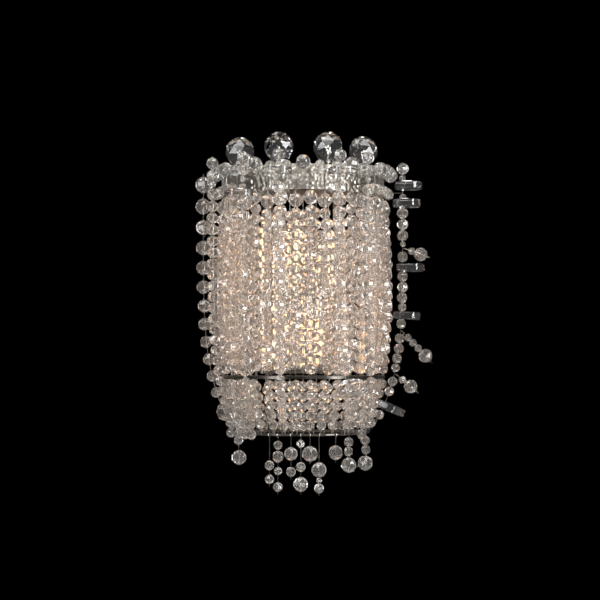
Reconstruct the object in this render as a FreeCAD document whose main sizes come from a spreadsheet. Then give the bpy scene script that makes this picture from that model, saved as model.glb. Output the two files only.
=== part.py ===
import FreeCAD, Part
import math
import os
import Sketcher

from FreeCAD import Placement, Rotation, Vector

# Crystal wall sconce. Z is up, the wall is the plane Y = 0 and the front looks along -Y.
# The origin is the centre of the wall pan's back. Lengths are in millimetres.

doc = FreeCAD.newDocument("crystal_wall_sconce")

SIZES = {
    # wall pan and its fixing
    "pan_width": 114,
    "pan_height": 170,
    "pan_depth": 22,
    "pan_wall": 1.5,
    "pan_corner": 12,
    "pan_edge": 1.2,
    "bar_length": 104,
    "bar_width": 18,
    "bar_thick": 2,
    "box_spacing": 88.9,
    "slot_length": 12,
    "slot_width": 4.8,
    "stud_spacing": 60,
    "stud_diameter": 4,
    "stud_collar": 8,
    "stud_reach": 7,
    "nut_across": 9,
    "nut_height": 4.5,
    "fit_gap": 0.2,
    "earth_head": 8,
    "earth_head_height": 3,
    # frame
    "ring_half_width": 94,
    "ring_depth": 122,
    "band_bottom": 118,
    "band_height": 28,
    "band_thick": 1.5,
    "back_bar_rise": 2,
    "back_bar_height": 12,
    "back_bar_thick": 1.5,
    "lower_ring_top": -87,
    "lower_ring_height": 3,
    "lower_ring_width": 4,
    "bottom_ring_drop": 62,
    "bottom_half_width": 77,
    "bottom_depth": 98,
    "rod_diameter": 3,
    "strap_gap": 1,
    "strap_width": 9,
    "strap_offset": "=stud_spacing / 2 + nut_across / 2 + strap_gap + strap_width / 2",
    "strap_thick": 2,
    "screw_diameter": 3,
    "screw_head": 6,
    "screw_head_height": 2.2,
    "screw_length": 9,
    "screw_rise": 60,
    # lamps
    "lamp_spacing": 22,
    "lamp_reach": 62,
    "block_centre": 8,
    "block_width": 46,
    "block_depth": 18,
    "block_height": 14,
    "arm_diameter": 10,
    "arm_bore": 7,
    "arm_nut_across": 14,
    "arm_nut_height": 3,
    "holder_diameter": 20,
    "holder_height": 22,
    "holder_floor": 2,
    "holder_lip": 3.3,
    "holder_bore": 14,
    "cap_diameter": 12,
    "bulb_neck": 12,
    "bulb_diameter": 32,
    "bulb_length": 68,
    # crystals
    "slot_count": 22,
    "wire": 0.55,
    "loop_gap": 0.3,
    "curtain_bead": 12.6,
    "curtain_top_bead": 16.4,
    "curtain_bulge": 6,
    "basket_bead": 10.4,
    "rim_bead": 17,
    "rim_count": 21,
    "ball_diameter": 34,
    "ball_lift": 3,
    "outer_stand_off": 24,
    "outer_top": 134,
    "outer_bead": 13.8,
    "outer_end_bead": 10.5,
    "tail_bead": 17.2,
    "swag_bead": 19.5,
    "swag_end_bead": 11.5,
    "swag_link": 6,
    "tie_drop": 9,
    "foot_clear": 14,
    "disc_diameter": 44,
    "small_disc_diameter": 32,
    "disc_offset": 9,
    "disc_thick": 8,
    "disc_bore": 3,
    "spray_bead": 8.5,
    "spray_end_bead": 16,
    "eye_thick": 1.2,
    "eye_wall": 0.9,
}

sheet = doc.addObject("Spreadsheet::Sheet", "sizes")
for row, (alias, value) in enumerate(SIZES.items(), start=1):
    sheet.set("A%d" % row, alias)
    sheet.set("B%d" % row, str(value))
    sheet.setAlias("B%d" % row, alias)
doc.recompute()

sub_parts = []


def size(alias):
    return float(sheet.get(alias))


def keep(piece, node):
    """Mark a document object as a finished sub-part."""
    piece.Label = node
    sub_parts.append(piece)
    return piece


def bind(piece, **expressions):
    """Bind properties to expressions over the sheet; place_x is Placement.Base.x."""
    for name, expression in expressions.items():
        path = name
        if name.startswith("place_"):
            path = "Placement.Base." + name[-1]
        piece.setExpression(path, expression)
    return piece


def part_object(kind, name, rotation=None, **expressions):
    piece = doc.addObject("Part::" + kind, name)
    if rotation is not None:
        piece.Placement = Placement(Vector(0, 0, 0), rotation)
    return bind(piece, **expressions)


def cut(name, base, tool):
    piece = doc.addObject("Part::Cut", name)
    piece.Base = base
    piece.Tool = tool
    return piece


def fuse(name, shapes):
    piece = doc.addObject("Part::MultiFuse", name)
    piece.Shapes = shapes
    return piece


def group(name, shapes):
    """Several separate solids that share one node."""
    piece = doc.addObject("Part::Compound", name)
    piece.Links = shapes
    return piece


def mirrored(name, source, normal):
    piece = doc.addObject("Part::Mirroring", name)
    piece.Source = source
    piece.Normal = normal
    return piece


def shape_part(node, shape):
    """A sub-part whose form is set in code from the sheet."""
    piece = doc.addObject("Part::Feature", node)
    piece.Shape = shape
    return keep(piece, node)


FORWARD = Rotation(Vector(1, 0, 0), 90)
FORWARD_STEP = Vector(0, -1, 0)
LEFT_RIGHT = Vector(1, 0, 0)
UP_DOWN = Vector(0, 0, 1)


# --- Sketch helpers -------------------------------------------------------------------------

def new_body(node):
    body = doc.addObject("PartDesign::Body", node)
    return keep(body, node)


def new_sketch(body, name, role):
    sketch = body.newObject("Sketcher::SketchObject", name)
    plane = [feature for feature in body.Origin.OriginFeatures if feature.Role == role][0]
    sketch.AttachmentSupport = [(plane, "")]
    sketch.MapMode = "FlatFace"
    return sketch


def centred_rectangle(sketch, width, height):
    """A rectangle about the sketch's origin, its sides bound to the sheet."""
    first = sketch.GeometryCount
    corners = [Vector(-5, -4, 0), Vector(5, -4, 0), Vector(5, 4, 0), Vector(-5, 4, 0)]
    for index in range(4):
        sketch.addGeometry(Part.LineSegment(corners[index], corners[(index + 1) % 4]), False)
    for index in range(4):
        following = first + (index + 1) % 4
        sketch.addConstraint(Sketcher.Constraint("Coincident", first + index, 2, following, 1))
    for index in (0, 2):
        sketch.addConstraint(Sketcher.Constraint("Horizontal", first + index))
        sketch.addConstraint(Sketcher.Constraint("Vertical", first + index + 1))
    sketch.addConstraint(Sketcher.Constraint("Symmetric", first, 1, first + 2, 1, -1, 1))
    across = sketch.addConstraint(Sketcher.Constraint("DistanceX", first, 1, first, 2, 10.0))
    sketch.setExpression("Constraints[%d]" % across, width)
    up = sketch.addConstraint(Sketcher.Constraint("DistanceY", first + 1, 1, first + 1, 2, 8.0))
    sketch.setExpression("Constraints[%d]" % up, height)


def circle_at(sketch, radius, across, up):
    """A circle to the right of and above the sketch's origin."""
    index = sketch.addGeometry(Part.Circle(Vector(8, 8, 0), Vector(0, 0, 1), 1.0), False)
    distance = sketch.addConstraint(Sketcher.Constraint("Radius", index, 1.0))
    sketch.setExpression("Constraints[%d]" % distance, radius)
    for kind, expression in (("DistanceX", across), ("DistanceY", up)):
        if expression is None:
            axis = -2 if kind == "DistanceX" else -1
            sketch.addConstraint(Sketcher.Constraint("PointOnObject", index, 3, axis))
        else:
            place = sketch.addConstraint(Sketcher.Constraint(kind, -1, 1, index, 3, 8.0))
            sketch.setExpression("Constraints[%d]" % place, expression)


def slot_at(sketch, across, length, width):
    """A level slot whose centre lies to the right of the sketch's origin, on its level axis."""
    half = size(width) / 2
    ends = [size(across) / 2 + sign * (size(length) / 2 - half) for sign in (-1, 1)]
    normal = Vector(0, 0, 1)
    top = sketch.addGeometry(Part.LineSegment(Vector(ends[0], half, 0), Vector(ends[1], half, 0)), False)
    low = sketch.addGeometry(Part.LineSegment(Vector(ends[0], -half, 0), Vector(ends[1], -half, 0)), False)
    right_circle = Part.Circle(Vector(ends[1], 0, 0), normal, half)
    right = sketch.addGeometry(Part.ArcOfCircle(right_circle, -math.pi / 2, math.pi / 2), False)
    left_circle = Part.Circle(Vector(ends[0], 0, 0), normal, half)
    left = sketch.addGeometry(Part.ArcOfCircle(left_circle, math.pi / 2, 3 * math.pi / 2), False)
    for line, line_end, arc, arc_end in (
            (top, 2, right, 2), (low, 2, right, 1), (top, 1, left, 1), (low, 1, left, 2)):
        sketch.addConstraint(Sketcher.Constraint("Tangent", line, line_end, arc, arc_end))
    sketch.addConstraint(Sketcher.Constraint("PointOnObject", left, 3, -1))
    sketch.addConstraint(Sketcher.Constraint("PointOnObject", right, 3, -1))
    radius = sketch.addConstraint(Sketcher.Constraint("Radius", left, half))
    sketch.setExpression("Constraints[%d]" % radius, "sizes.%s / 2" % width)
    for arc, place, sign in ((left, ends[0], "-"), (right, ends[1], "+")):
        centre = sketch.addConstraint(Sketcher.Constraint("DistanceX", -1, 1, arc, 3, place))
        expression = "sizes.%s / 2 %s (sizes.%s - sizes.%s) / 2" % (across, sign, length, width)
        sketch.setExpression("Constraints[%d]" % centre, expression)


def pad(body, sketch, length, name):
    feature = body.newObject("PartDesign::Pad", name)
    feature.Profile = sketch
    feature.setExpression("Length", length)
    doc.recompute()
    return feature


def pocket(body, sketch, length, name, forward=True):
    """A cut that runs towards the front, away from the wall."""
    before = body.Shape.Volume
    feature = body.newObject("PartDesign::Pocket", name)
    feature.Profile = sketch
    feature.Reversed = forward
    feature.setExpression("Length", length)
    doc.recompute()
    if body.Shape.Volume >= before:
        raise ValueError(name + " removes nothing")
    return feature


def mirror_feature(body, feature, axis, sketch, name):
    """Repeat a feature on the other side of the sketch's upright or level axis."""
    copy = body.newObject("PartDesign::Mirrored", name)
    copy.Originals = [feature]
    copy.MirrorPlane = (sketch, [axis])
    body.Tip = copy
    doc.recompute()
    return copy


def round_edges(body, base, radius, chosen, name):
    """Fillet the edges of the base feature that the test picks."""
    names = ["Edge%d" % (i + 1) for i, edge in enumerate(base.Shape.Edges) if chosen(edge)]
    feature = body.newObject("PartDesign::Fillet", name)
    feature.Base = (base, names)
    feature.setExpression("Radius", radius)
    body.Tip = feature
    doc.recompute()
    return feature


def runs_along(edge, direction):
    start, end = edge.Vertexes[0].Point, edge.Vertexes[-1].Point
    run = end - start
    return run.Length > 1 and abs(abs(run.normalize().dot(direction)) - 1) < 1e-6


# --- Solids with flat faces -----------------------------------------------------------------

def faceted_solid(sections, sides, axis, turn=0.0):
    """A closed solid with flat faces through parallel polygons of given centre and radius."""
    along = Vector(axis).normalize()
    aside = Vector(1, 0, 0) if abs(along.x) < 0.9 else Vector(0, 1, 0)
    first = (aside - along * aside.dot(along)).normalize()
    second = along.cross(first)
    rings = []
    for centre, radius in sections:
        ring = []
        for corner in range(sides):
            angle = math.radians(turn) + 2 * math.pi * corner / sides
            ring.append(centre + first * (radius * math.cos(angle)) + second * (radius * math.sin(angle)))
        rings.append(ring)
    faces = []
    for ring in (rings[0], rings[-1]):
        faces.append(Part.Face(Part.makePolygon(ring + ring[:1])))
    for low, high in zip(rings, rings[1:]):
        for corner in range(sides):
            following = (corner + 1) % sides
            outline = [low[corner], low[following], high[following], high[corner], low[corner]]
            faces.append(Part.Face(Part.makePolygon(outline)))
    shell = Part.Shell(faces)
    shell.sewShape()
    solid = Part.Solid(shell.Shells[0] if shell.ShapeType != "Shell" else shell)
    if solid.Volume < 0:
        solid.reverse()
    return solid


# --- Wall pan, crossbar and what fastens them ------------------------------------------------

def wall_pan():
    """A pressed pan, open to the wall, with rounded corners and a rounded front edge."""
    body = new_body("wall_pan")
    outline = new_sketch(body, "pan_outline", "XZ_Plane")
    centred_rectangle(outline, "sizes.pan_width", "sizes.pan_height")
    block = pad(body, outline, "sizes.pan_depth", "pan_block")
    corners = round_edges(
        body, block, "sizes.pan_corner", lambda e: runs_along(e, Vector(0, 1, 0)), "pan_corners")
    hollow = body.newObject("PartDesign::Thickness", "pan_hollow")
    back = [i + 1 for i, face in enumerate(corners.Shape.Faces) if abs(face.CenterOfMass.y) < 1e-6]
    hollow.Base = (corners, ["Face%d" % back[0]])
    hollow.setExpression("Value", "sizes.pan_wall")
    hollow.Reversed = True
    hollow.Join = 1
    body.Tip = hollow
    doc.recompute()
    front = -size("pan_depth")
    rim = ["Edge%d" % (i + 1) for i, edge in enumerate(hollow.Shape.Edges)
           if all(abs(vertex.Point.y - front) < 1e-6 for vertex in edge.Vertexes)]
    bevel = body.newObject("PartDesign::Chamfer", "pan_front_edge")
    bevel.Base = (hollow, rim)
    bevel.setExpression("Size", "sizes.pan_edge")
    body.Tip = bevel
    doc.recompute()
    for name, radius, across, up in (
            ("stud", "sizes.stud_diameter / 2 + sizes.fit_gap", "sizes.stud_spacing / 2", None),
            ("arm", "sizes.arm_diameter / 2 + sizes.fit_gap", None, "sizes.block_centre")):
        sketch = new_sketch(body, name + "_hole_outline", "XZ_Plane")
        circle_at(sketch, radius, across, up)
        hole = pocket(body, sketch, "sizes.pan_depth + 1", name + "_hole")
        if across is not None:
            mirror_feature(body, hole, "V_Axis", sketch, name + "_hole_pair")
    sketch = new_sketch(body, "screw_hole_outline", "XZ_Plane")
    circle_at(sketch, "sizes.screw_diameter / 2 + sizes.fit_gap", "sizes.strap_offset", "sizes.screw_rise")
    hole = pocket(body, sketch, "sizes.pan_depth + 1", "screw_hole")
    mirror_feature(body, hole, "V_Axis", sketch, "screw_hole_pair")
    low = new_sketch(body, "low_screw_outline", "XZ_Plane")
    circle = low.addGeometry(Part.Circle(Vector(8, -8, 0), Vector(0, 0, 1), 1.0), False)
    for kind, ends, expression in (
            ("Radius", (circle,), "sizes.screw_diameter / 2 + sizes.fit_gap"),
            ("DistanceX", (-1, 1, circle, 3), "sizes.strap_offset"),
            ("DistanceY", (circle, 3, -1, 1), "sizes.screw_rise")):
        index = low.addConstraint(Sketcher.Constraint(kind, *ends, 8.0))
        low.setExpression("Constraints[%d]" % index, expression)
    low_hole = pocket(body, low, "sizes.pan_depth + 1", "low_screw_hole")
    mirror_feature(body, low_hole, "V_Axis", low, "low_screw_pair")


def mounting_crossbar():
    """A flat steel bar with two slots for the junction box and three holes."""
    body = new_body("mounting_crossbar")
    outline = new_sketch(body, "bar_outline", "XZ_Plane")
    centred_rectangle(outline, "sizes.bar_length", "sizes.bar_width")
    block = pad(body, outline, "sizes.bar_thick", "bar_block")
    round_edges(body, block, "sizes.bar_width / 4", lambda e: runs_along(e, Vector(0, 1, 0)), "bar_corners")
    slot = new_sketch(body, "slot_outline", "XZ_Plane")
    slot_at(slot, "box_spacing", "slot_length", "slot_width")
    opening = pocket(body, slot, "sizes.bar_thick + 1", "box_slot")
    mirror_feature(body, opening, "V_Axis", slot, "box_slot_pair")
    centre = new_sketch(body, "centre_hole_outline", "XZ_Plane")
    circle_at(centre, "sizes.arm_diameter / 2 + 1", None, None)
    pocket(body, centre, "sizes.bar_thick + 1", "centre_hole")


def hex_prism(name, across_flats, height, **places):
    """A hexagonal prism that points to the front."""
    prism = part_object("Prism", name, FORWARD, Height=height, **places)
    prism.Polygon = 6
    bind(prism, Circumradius="%s / sqrt(3)" % across_flats)
    return prism


def stud_pair():
    """Two studs, each with a hexagonal collar that stands on the crossbar."""
    x = "sizes.stud_spacing / 2"
    collar = hex_prism(
        "stud_collar_form", "sizes.stud_collar", "sizes.stud_reach / 2", place_x=x, place_y="-sizes.bar_thick")
    shank = part_object(
        "Cylinder", "stud_shank", FORWARD, Radius="sizes.stud_diameter / 2",
        Height="sizes.pan_depth - sizes.bar_thick + sizes.stud_reach", place_x=x, place_y="-sizes.bar_thick")
    stud = fuse("stud", [collar, shank])
    keep(group("stud_group", [stud, mirrored("stud_left", stud, LEFT_RIGHT)]), "mounting_studs")


def cap_nut_pair():
    """Two domed nuts on the front of the pan, bored to clear the studs."""
    corner = size("nut_across") / math.sqrt(3)
    end = size("stud_reach") + size("pan_wall")
    seat = Vector(size("stud_spacing") / 2, -size("pan_depth"), 0)
    shoulder = seat + FORWARD_STEP * size("nut_height")
    crown = seat + FORWARD_STEP * (size("nut_height") + (end - size("nut_height")) * 0.6)
    tip = seat + FORWARD_STEP * end
    flats = size("nut_across") / 2
    skirt = faceted_solid([(seat, corner), (shoulder, corner)], 6, FORWARD_STEP)
    dome = faceted_solid([(shoulder, flats), (crown, flats * 0.8), (tip, flats * 0.4)], 12, FORWARD_STEP)
    bore = Part.makeCylinder(
        size("stud_diameter") / 2 + size("fit_gap"), size("stud_reach") + size("fit_gap"), seat, FORWARD_STEP)
    nut = skirt.fuse(dome).cut(bore)
    shape_part("cap_nuts", Part.makeCompound([nut, nut.mirror(Vector(0, 0, 0), Vector(1, 0, 0))]))


def earth_screw():
    """The green earth screw on the crossbar, its head on the bar's front face."""
    head = part_object(
        "Cylinder", "earth_head_form", FORWARD, Radius="sizes.earth_head / 2", Height="sizes.earth_head_height",
        place_x="-sizes.stud_spacing / 4", place_y="-sizes.bar_thick")
    slot = part_object(
        "Box", "earth_slot", Length="sizes.earth_head + 1", Width="sizes.earth_head_height / 2",
        Height="sizes.earth_head / 6", place_x="-sizes.stud_spacing / 4 - sizes.earth_head / 2 - 0.5",
        place_y="-sizes.bar_thick - sizes.earth_head_height", place_z="-sizes.earth_head / 12")
    keep(cut("earth_screw_form", head, slot), "earth_screw")


wall_pan()
mounting_crossbar()
stud_pair()
cap_nut_pair()
earth_screw()


# --- Frame: top band, rings, ribs and straps -------------------------------------------------

def oval_edge(half_width, depth):
    """Half an ellipse in plan, from the right end round the front to the left end."""
    back = -size("pan_depth")
    long_axis, short_axis = max(half_width, depth), min(half_width, depth)
    if half_width >= depth:
        direction = Vector(1, 0, 0)
    else:
        direction = Vector(0, 1, 0)
    centre = Vector(0, back, 0)
    side = Vector(0, 0, 1).cross(direction)
    ellipse = Part.Ellipse(centre + direction * long_axis, centre + side * short_axis, centre)
    points = [Vector(half_width, back, 0), Vector(-half_width, back, 0)]
    start, end = [ellipse.parameter(point) for point in points]
    arc = Part.Arc(ellipse, end, start)
    if arc.value((arc.FirstParameter + arc.LastParameter) / 2).y > back:
        arc = Part.Arc(ellipse, start, end)
    return arc.toShape()


def oval_strip(half_width, depth, width, bottom, height):
    """A flat strip bent to the half oval, with its ends square to the wall."""
    inner = oval_edge(half_width - width / 2, depth - width / 2)
    outer = oval_edge(half_width + width / 2, depth + width / 2)
    ends = []
    for sign in (1, -1):
        pair = [max((v.Point for v in edge.Vertexes), key=lambda p: sign * p.x) for edge in (inner, outer)]
        ends.append(Part.LineSegment(pair[0], pair[1]).toShape())
    wire = Part.Wire(Part.__sortEdges__([inner, ends[0], outer, ends[1]]))
    strip = Part.Face(wire).extrude(Vector(0, 0, height))
    strip.translate(Vector(0, 0, bottom))
    return strip


def oval_point(half_width, depth, angle, z):
    """A point on a half oval; angle 0 is its right end and 180 its left end, by the wall."""
    turn = math.radians(angle)
    return Vector(half_width * math.cos(turn), -size("pan_depth") - depth * math.sin(turn), z)


def curtain_slots():
    """Evenly spaced angles round the rings, found along the curve's length."""
    edge = oval_edge(size("ring_half_width"), size("ring_depth"))
    points = edge.discretize(Number=int(size("slot_count")))
    angles = []
    for point in points:
        across = point.x / size("ring_half_width")
        forward = max(-size("pan_depth") - point.y, 0) / size("ring_depth")
        angles.append(math.degrees(math.atan2(forward, across)))
    return sorted(angles)


def rib_slots():
    """The slots that the frame's ribs take: both ends and two at the front."""
    last = int(size("slot_count")) - 1
    return [0, last // 3, last - last // 3, last]


def bar_behind(name, node, half_width, bottom, height):
    """A straight flat bar along the wall that closes a ring behind its two ends."""
    reach = "(%s)" % half_width
    bar = part_object(
        "Box", name, Length="2 * " + reach, Width="sizes.back_bar_thick", Height=height,
        place_x="-" + reach, place_y="-sizes.pan_depth", place_z=bottom)
    return keep(bar, node)


def frame_rings():
    shape_part("top_band", oval_strip(
        size("ring_half_width"), size("ring_depth"), size("band_thick"),
        size("band_bottom"), size("band_height")))
    shape_part("lower_ring", oval_strip(
        size("ring_half_width"), size("ring_depth"), size("lower_ring_width"),
        size("lower_ring_top") - size("lower_ring_height"), size("lower_ring_height")))
    bar_behind(
        "top_bar", "top_back_bar", "sizes.ring_half_width + sizes.band_thick / 2",
        "sizes.band_bottom + sizes.back_bar_rise", "sizes.back_bar_height")
    bar_behind(
        "low_bar", "lower_back_bar", "sizes.ring_half_width + sizes.lower_ring_width / 2",
        "sizes.lower_ring_top - sizes.lower_ring_height", "sizes.lower_ring_height")


def frame_ribs():
    """Four upright rods between the band's lower edge and the lower ring."""
    slots = curtain_slots()
    radius = size("rod_diameter") / 2
    foot = size("lower_ring_top")
    rods = []
    for index in rib_slots():
        place = oval_point(size("ring_half_width"), size("ring_depth"), slots[index], foot)
        rods.append(Part.makeCylinder(radius, size("band_bottom") - foot, place))
    shape_part("frame_ribs", Part.makeCompound(rods))


def bottom_ring_level():
    return size("lower_ring_top") - size("lower_ring_height") - size("bottom_ring_drop")


def mitred_rod(points, radius, sides):
    """A rod bent through points of one level, its sections on the mitre planes."""
    faces = []
    rings = []
    for index, point in enumerate(points):
        before = (point - points[max(index - 1, 0)]) if index else points[1] - point
        after = (points[index + 1] - point) if index + 1 < len(points) else before
        before.normalize()
        after.normalize()
        mitre = (before + after).normalize()
        aside = mitre.cross(Vector(0, 0, 1)) / mitre.dot(before)
        ring = []
        for corner in range(sides):
            angle = 2 * math.pi * (corner + 0.5) / sides
            offset = aside * (radius * math.cos(angle)) + Vector(0, 0, radius * math.sin(angle))
            ring.append(point + offset)
        rings.append(ring)
    for ring in (rings[0], rings[-1]):
        faces.append(Part.Face(Part.makePolygon(ring + ring[:1])))
    for low, high in zip(rings, rings[1:]):
        for corner in range(sides):
            following = (corner + 1) % sides
            outline = [low[corner], low[following], high[following], high[corner], low[corner]]
            faces.append(Part.Face(Part.makePolygon(outline)))
    shell = Part.Shell(faces)
    shell.sewShape()
    solid = Part.Solid(shell)
    if solid.Volume < 0:
        solid.reverse()
    return solid


def basket_frame():
    """The small rod ring under the basket, with the four sloping ribs that carry it."""
    radius = size("rod_diameter") / 2
    level = bottom_ring_level()
    edge = oval_edge(size("bottom_half_width"), size("bottom_depth"))
    points = edge.discretize(Number=int(size("slot_count")) + 6)
    frame = mitred_rod([point + Vector(0, 0, level) for point in points], radius, 8)
    back = size("pan_depth") - radius
    reach = size("bottom_half_width") + radius
    closing = Part.makeBox(2 * reach, 2 * radius, 2 * radius, Vector(-reach, -back - 2 * radius, level - radius))
    frame = frame.fuse(closing)
    slots = curtain_slots()
    top = size("lower_ring_top") - size("lower_ring_height")
    for index in rib_slots():
        low = oval_point(size("bottom_half_width"), size("bottom_depth"), slots[index], level)
        high = oval_point(size("ring_half_width"), size("ring_depth"), slots[index], top)
        rib = faceted_solid([(low, radius), (high, radius)], 8, Vector(0, 0, 1), 22.5)
        frame = frame.fuse(rib)
    shape_part("basket_frame", frame.removeSplitter())


def frame_straps():
    """Two upright straps that carry the rings on the front of the pan."""
    bottom = "sizes.lower_ring_top - sizes.lower_ring_height"
    top = "sizes.band_bottom + sizes.back_bar_rise + sizes.back_bar_height"
    strap = part_object(
        "Box", "strap_form", Length="sizes.strap_width", Width="sizes.strap_thick",
        Height="(%s) - (%s)" % (top, bottom), place_x="sizes.strap_offset - sizes.strap_width / 2",
        place_y="-sizes.pan_depth - sizes.strap_thick", place_z=bottom)
    holes = []
    for name, rise in (("upper", "sizes.screw_rise"), ("lower", "-sizes.screw_rise")):
        holes.append(part_object(
            "Cylinder", name + "_strap_hole", FORWARD, Radius="sizes.screw_diameter / 2 + sizes.fit_gap",
            Height="sizes.strap_thick * 2", place_x="sizes.strap_offset", place_y="-sizes.pan_depth + 1",
            place_z=rise))
    right = keep(cut("strap_right_form", strap, fuse("strap_holes", holes)), "frame_strap_right")
    keep(mirrored("strap_left_form", right, LEFT_RIGHT), "frame_strap_left")


def frame_screws():
    """Four pan-head screws, their heads on the front of the straps."""
    head = size("screw_head") / 2
    shank = size("screw_diameter") / 2
    screws = []
    for side in (-1, 1):
        for level in (-1, 1):
            seat = Vector(
                side * size("strap_offset"), -size("pan_depth") - size("strap_thick"), level * size("screw_rise"))
            end = seat - FORWARD_STEP * size("screw_length")
            crown = seat + FORWARD_STEP * size("screw_head_height")
            sections = [(end, shank), (seat, shank), (seat, head), (crown, head * 0.75)]
            screws.append(faceted_solid(sections, 12, FORWARD_STEP))
    shape_part("frame_screws", Part.makeCompound(screws))


# --- Lamps -----------------------------------------------------------------------------------

def lamp_arm():
    """The threaded tube that carries the lamps, its two nuts and the block at its end."""
    end = "sizes.lamp_reach - sizes.block_depth / 2"
    tube = part_object(
        "Cylinder", "arm_tube", FORWARD, Radius="sizes.arm_diameter / 2",
        Height=end + " - sizes.pan_wall - sizes.arm_nut_height * 2",
        place_y="-sizes.pan_wall - sizes.arm_nut_height * 2", place_z="sizes.block_centre")
    bore = part_object(
        "Cylinder", "arm_bore_form", FORWARD, Radius="sizes.arm_bore / 2", Height="sizes.lamp_reach",
        place_z="sizes.block_centre")
    keep(cut("arm_form", tube, bore), "lamp_arm")
    nuts = []
    for name, place in (
            ("front_nut", "-sizes.pan_depth"),
            ("inner_nut", "-sizes.pan_depth + sizes.pan_wall + sizes.arm_nut_height")):
        nuts.append(hex_prism(
            name, "sizes.arm_nut_across", "sizes.arm_nut_height", place_y=place, place_z="sizes.block_centre"))
    clearance = part_object(
        "Cylinder", "nut_clearance", FORWARD, Radius="sizes.arm_diameter / 2 + sizes.fit_gap",
        Height="sizes.lamp_reach", place_z="sizes.block_centre")
    pair = group("nut_pair", nuts)
    keep(cut("arm_nut_forms", pair, clearance), "lamp_arm_nuts")


def socket_block():
    """The small cast block across the arm, with rounded ends."""
    body = new_body("socket_block")
    outline = new_sketch(body, "block_outline", "XY_Plane")
    outline.setExpression(".AttachmentOffset.Base.y", "-sizes.lamp_reach")
    outline.setExpression(".AttachmentOffset.Base.z", "sizes.block_centre - sizes.block_height / 2")
    centred_rectangle(outline, "sizes.block_width", "sizes.block_depth")
    block = pad(body, outline, "sizes.block_height", "block_form")
    round_edges(
        body, block, "sizes.block_depth / 3", lambda e: runs_along(e, Vector(0, 0, 1)), "block_corners")


LAMP_SIDES = 16

# The bulb's outline as share of its length and share of its greatest radius.
BULB_OUTLINE = [
    (0.12, 0.78), (0.24, 0.95), (0.38, 1), (0.52, 0.9), (0.67, 0.66), (0.82, 0.36), (0.94, 0.14), (1, 0.05)]


def upright_form(levels, across):
    """A turned form with flat sides, through levels given as height and radius, on a lamp's axis."""
    sections = [(Vector(across, -size("lamp_reach"), height), radius) for height, radius in levels]
    return faceted_solid(sections, LAMP_SIDES, Vector(0, 0, 1))


def lampholder(across, base, up):
    """A candle lampholder: a cup whose floor carries the lamp's cap."""
    outer = size("holder_diameter") / 2
    inner = size("holder_bore") / 2
    lip = (outer * 2 + inner) / 3
    height = size("holder_height")
    cup = upright_form(
        [(base, outer), (base + up * (height - size("holder_lip")), outer), (base + up * height, lip)], across)
    floor = base + up * size("holder_floor")
    return cup.cut(upright_form([(floor, inner), (base + up * height * 2, inner)], across))


def lamp_cap(across, base, up):
    """A screw cap with a stepped contact."""
    radius = size("cap_diameter") / 2
    floor = base + up * size("holder_floor")
    levels = [(floor, radius / 2), (floor + up * radius / 2, radius), (base + up * size("holder_height"), radius)]
    return upright_form(levels, across)


def lamp_glass(across, base, up):
    """A candle-shaped bulb: a narrow neck, a full belly and a drawn tip."""
    start = base + up * size("holder_height")
    levels = [(start, size("bulb_neck") / 2)]
    for share, width in BULB_OUTLINE:
        levels.append((start + up * share * size("bulb_length"), width * size("bulb_diameter") / 2))
    return upright_form(levels, across)


def lamps():
    half = size("block_height") / 2
    for side, x, up in (("upper", -1, 1), ("lower", 1, -1)):
        across = x * size("lamp_spacing") / 2
        base = size("block_centre") + up * half
        for node, form in (("lampholder_", lampholder), ("lamp_cap_", lamp_cap), ("lamp_bulb_", lamp_glass)):
            shape_part(node + side, form(across, base, up))


frame_rings()
frame_ribs()
basket_frame()
frame_straps()
frame_screws()
lamp_arm()
socket_block()
lamps()


# --- Crystals --------------------------------------------------------------------------------

def bead_sections(place, centre, diameter, cut_faces, neck):
    """Sections of one bead down a path: its neck, its widest girdle or band, and its neck."""
    half = diameter / 2
    flat = half * 0.3
    sections = [(place(centre + half), neck)]
    if cut_faces == "round":
        sections.append((place(centre + flat), half))
        sections.append((place(centre - flat), half))
    else:
        sections.append((place(centre), half))
    sections.append((place(centre - half), neck))
    return sections


def strand_solid(place, top, bottom, beads, sides, cut_faces, turn):
    """A wire with its beads, from the top height to the bottom height along a path."""
    wire = size("wire")
    sections = [(place(top), wire)]
    level = top
    for centre, diameter in beads:
        upper = centre + diameter / 2
        neck = max(diameter * 0.18, size("disc_bore") / 2 + wire / 2)
        touching = level - upper < wire and sections[-1][1] > wire
        if not touching:
            if sections[-1][1] > wire:
                sections.append((place(level), wire))
            sections.append((place(upper), wire))
        bead = bead_sections(place, centre, diameter, cut_faces, neck)
        sections.extend(bead[1:] if touching else bead)
        level = centre - diameter / 2
    if level - bottom > wire:
        sections.append((place(level), wire))
        sections.append((place(bottom), wire))
    return faceted_solid(sections, sides, Vector(0, 0, -1), turn)


def curtain_strand(angle, index):
    """One long strand: a large top bead, then touching beads down to the lower ring."""
    top = size("band_bottom")
    foot = size("lower_ring_top")

    def place(z):
        bulge = size("curtain_bulge") * math.sin(math.pi * (top - z) / (top - foot))
        return oval_point(size("ring_half_width") + bulge, size("ring_depth") + bulge, angle, z)

    large = size("curtain_top_bead")
    small = size("curtain_bead")
    lead = small / 3 if index % 2 else small / 12
    beads = [(top - lead - large / 2, large)]
    level = top - lead - large
    while level - small > foot + small / 12:
        beads.append((level - small / 2, small))
        level -= small
    return strand_solid(place, top, foot, beads, 4, "bicone", angle - 45)


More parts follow.
